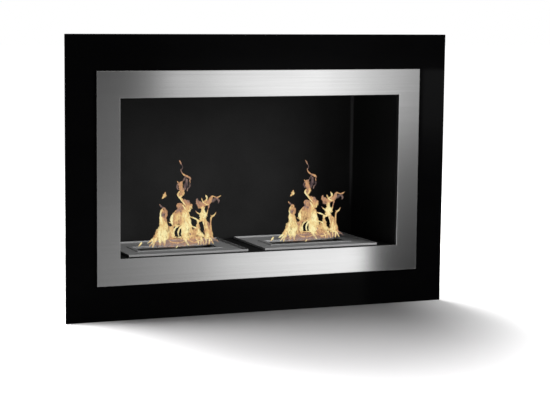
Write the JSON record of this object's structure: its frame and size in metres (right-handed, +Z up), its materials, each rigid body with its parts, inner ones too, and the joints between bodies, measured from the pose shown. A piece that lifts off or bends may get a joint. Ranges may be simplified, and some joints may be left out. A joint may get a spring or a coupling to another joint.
{
  "type": "bioethanol fireplace",
  "caption": "Wall-hung bioethanol fireplace: black glass front with a brushed steel trim, a recessed hearth, and lift-out burners with sliding shutters.",
  "frame": {"origin": "on the wall, in the middle of the wall bracket's four screw holes", "axes": "+X to the right as seen from the front, +Y into the wall, +Z up; the glass faces -Y"},
  "size_m": [0.9, 0.2672, 0.617],
  "materials": {
    "black_glass": "gloss, opaque black at the back",
    "brushed_trim_steel": "satin, fine horizontal brushing",
    "brushed_burner_steel": "satin, brushed, slightly heat-stained",
    "tank_steel": "plain rolled stainless sheet",
    "ceramic_fibre": "soft white ceramic wool",
    "hearth_black": "satin heat-proof black paint",
    "casing_black": "matte black powder coat",
    "zinc_plate": "bright zinc plate"
  },
  "bodies": {
    "housing": {"glass_front": "black_glass", "trim_frame": "brushed_trim_steel", "trim_studs": "zinc_plate", "trim_nuts": "zinc_plate", "mouth_collar": "casing_black", "casing_left": "casing_black", "casing_right": "casing_black", "casing_top": "casing_black", "casing_bottom": "casing_black", "casing_back": "casing_black", "casing_rivets": "zinc_plate", "liner_left": "hearth_black", "liner_right": "hearth_black", "liner_back": "hearth_black", "liner_ceiling": "hearth_black", "floor_pan": "hearth_black", "floor_ledges": "hearth_black", "liner_spacers": "zinc_plate", "spacer_rivets": "zinc_plate", "spill_tray": "tank_steel", "hanging_rail": "zinc_plate", "wall_bracket": "zinc_plate", "foot_spacer": "zinc_plate", "rail_rivets": "zinc_plate"},
    "burner_left": {"burner_plate_left": "brushed_burner_steel", "slot_frame_left": "brushed_burner_steel", "fuel_tank_left": "tank_steel", "fibre_pad_left": "ceramic_fibre", "fibre_grid_left": "tank_steel", "shutter_guides_left": "tank_steel"},
    "shutter_plate_left": {"shutter_left": "brushed_burner_steel"},
    "burner_right": {"burner_plate_right": "brushed_burner_steel", "slot_frame_right": "brushed_burner_steel", "fuel_tank_right": "tank_steel", "fibre_pad_right": "ceramic_fibre", "fibre_grid_right": "tank_steel", "shutter_guides_right": "tank_steel"},
    "shutter_plate_right": {"shutter_right": "brushed_burner_steel"}
  },
  "joints": [
    {"name": "burner_left_lift", "type": "slide", "parent": "housing", "child": "burner_left", "axis": [0, 0, 1], "range_m": [0, 0.09]},
    {"name": "shutter_left_slide", "type": "slide", "parent": "burner_left", "child": "shutter_plate_left", "axis": [0, -1, 0], "range_m": [0, 0.056]},
    {"name": "burner_right_lift", "type": "slide", "parent": "housing", "child": "burner_right", "axis": [0, 0, 1], "range_m": [0, 0.09]},
    {"name": "shutter_right_slide", "type": "slide", "parent": "burner_right", "child": "shutter_plate_right", "axis": [0, -1, 0], "range_m": [0, 0.056]}
  ]
}
